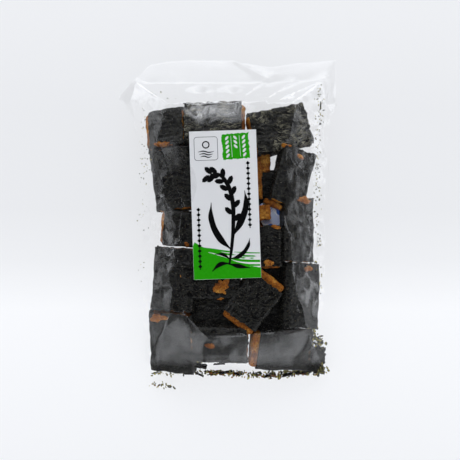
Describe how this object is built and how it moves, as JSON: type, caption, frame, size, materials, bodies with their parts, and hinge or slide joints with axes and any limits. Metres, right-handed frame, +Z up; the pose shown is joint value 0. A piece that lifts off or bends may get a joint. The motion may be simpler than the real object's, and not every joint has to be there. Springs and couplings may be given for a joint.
{
  "type": "bag of seaweed rice crackers",
  "caption": "Sealed clear film bag of dark seaweed-wrapped rice crackers with a narrow paper label on its front, lying on its back.",
  "frame": {"origin": "middle of the bag's outline on the surface it lies on, under its back", "axes": "+Z up out of the front of the bag, +Y from the folded bottom to the top seal, +X to the right seen from the front"},
  "size_m": [0.1534, 0.234, 0.0392],
  "materials": {
    "film": "clear glossy film, creased",
    "label": "smooth white paper printed in green and black",
    "cracker": "baked rice cracker, brown and slightly glossy with soy glaze",
    "seaweed": "dark green-black dried seaweed, satin and wrinkled",
    "sachet": "white sachet printed in pale blue"
  },
  "bodies": {
    "root": {"bag": "film", "label": "label"}
  },
  "joints": []
}
